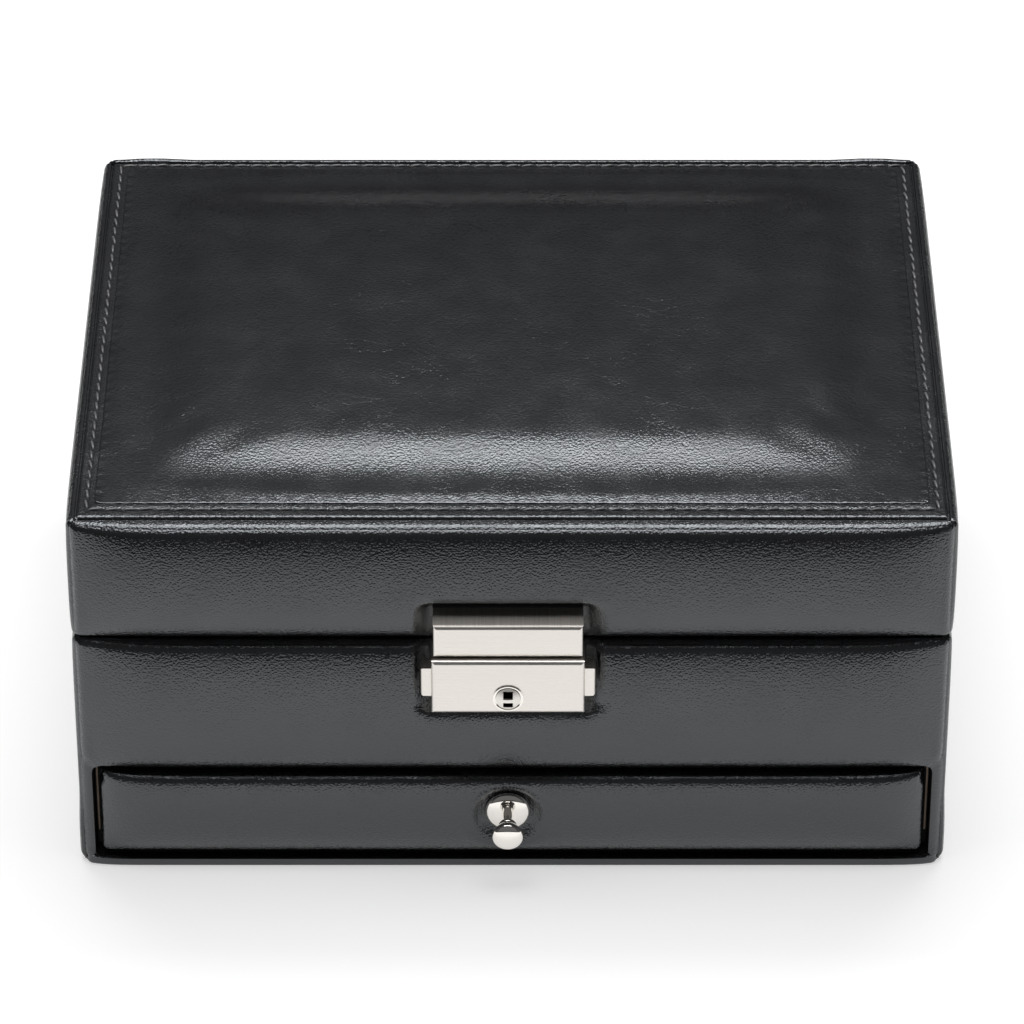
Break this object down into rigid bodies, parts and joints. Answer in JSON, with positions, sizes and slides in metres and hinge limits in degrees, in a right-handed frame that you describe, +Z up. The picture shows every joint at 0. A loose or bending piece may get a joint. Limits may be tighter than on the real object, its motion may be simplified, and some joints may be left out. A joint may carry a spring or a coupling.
{
  "type": "cufflink box with drawer",
  "caption": "Small leather-covered box with a hinged padded lid, a push-button box lock, a divided tray and a pull-out drawer with a ball knob.",
  "frame": {"origin": "centre of the underside, on the surface that the box stands on", "axes": "+X to the right along the width, the drawer and lock face -Y, +Z up"},
  "size_m": [0.2024, 0.1679, 0.1017],
  "materials": {
    "leather": "black, semi-gloss, fine pebble grain",
    "board": "bare fibreboard",
    "suede": "charcoal suede",
    "felt": "black felt",
    "satin_nickel": "satin nickel, brushed",
    "polished_nickel": "polished nickel",
    "steel": "plain steel"
  },
  "bodies": {
    "body": {"bottom_cover": "felt", "base_board": "board", "side_wall_left": "board", "side_wall_right": "board", "back_wall": "board", "front_wall": "board", "deck_board": "board", "body_cover": "leather", "tray_floor_lining": "suede", "tray_lining_front": "suede", "tray_lining_back": "suede", "tray_lining_left": "suede", "tray_lining_right": "suede", "tray_divider_long_1": "suede", "tray_divider_long_2": "suede", "tray_divider_cross_1": "suede", "tray_divider_cross_2": "suede", "tray_divider_cross_3": "suede", "tray_divider_cross_4": "suede", "lock_casing": "satin_nickel", "lock_back_plate": "steel", "lock_screws": "steel", "key_escutcheon": "polished_nickel", "hinge_leaf_body": "steel", "hinge_pin": "steel", "hinge_screws_body": "steel", "button_spring_left": "steel", "button_spring_right": "steel"},
    "button_left": {"push_button_left": "satin_nickel"},
    "button_right": {"push_button_right": "satin_nickel"},
    "key": {"key_cylinder": "polished_nickel", "lock_cam": "steel"},
    "lid": {"lid_front_wall": "board", "lid_back_wall": "board", "lid_left_wall": "board", "lid_right_wall": "board", "lid_top_board": "board", "lid_cover": "leather", "lid_panel": "leather", "lid_pad": "leather", "lid_lining_panel": "suede", "lid_lining_walls": "suede", "hasp": "satin_nickel", "hasp_strike": "steel", "hasp_back_plate": "steel", "hasp_screws": "steel", "hinge_leaf_lid": "steel", "hinge_screws_lid": "steel"},
    "drawer": {"drawer_front_board": "board", "drawer_front_cover": "leather", "drawer_left_side": "board", "drawer_right_side": "board", "drawer_back": "board", "drawer_bottom": "board", "drawer_floor_lining": "suede", "drawer_wall_linings": "suede", "drawer_dividers": "suede", "knob": "polished_nickel", "knob_rosette": "polished_nickel", "knob_screw": "steel"}
  },
  "joints": [
    {"name": "lid_hinge", "type": "hinge", "parent": "body", "child": "lid", "pos_m": [0, 0.0756, 0.06545], "axis": [-1, 0, 0], "range_deg": [0, 95]},
    {"name": "drawer_slide", "type": "slide", "parent": "body", "child": "drawer", "axis": [0, -1, 0], "range_m": [0, 0.125]},
    {"name": "button_left_press", "type": "slide", "parent": "body", "child": "button_left", "axis": [1, 0, 0], "range_m": [0, 0.002], "stiffness_N_per_m": 300, "springref_m": -0.004, "deforming": ["button_spring_left"]},
    {"name": "button_right_press", "type": "slide", "parent": "body", "child": "button_right", "axis": [-1, 0, 0], "range_m": [0, 0.002], "stiffness_N_per_m": 300, "springref_m": -0.004, "deforming": ["button_spring_right"]},
    {"name": "key_turn", "type": "hinge", "parent": "body", "child": "key", "pos_m": [-0.0009, -0.0862, 0.05485], "axis": [0, 1, 0], "range_deg": [0, 90]}
  ]
}
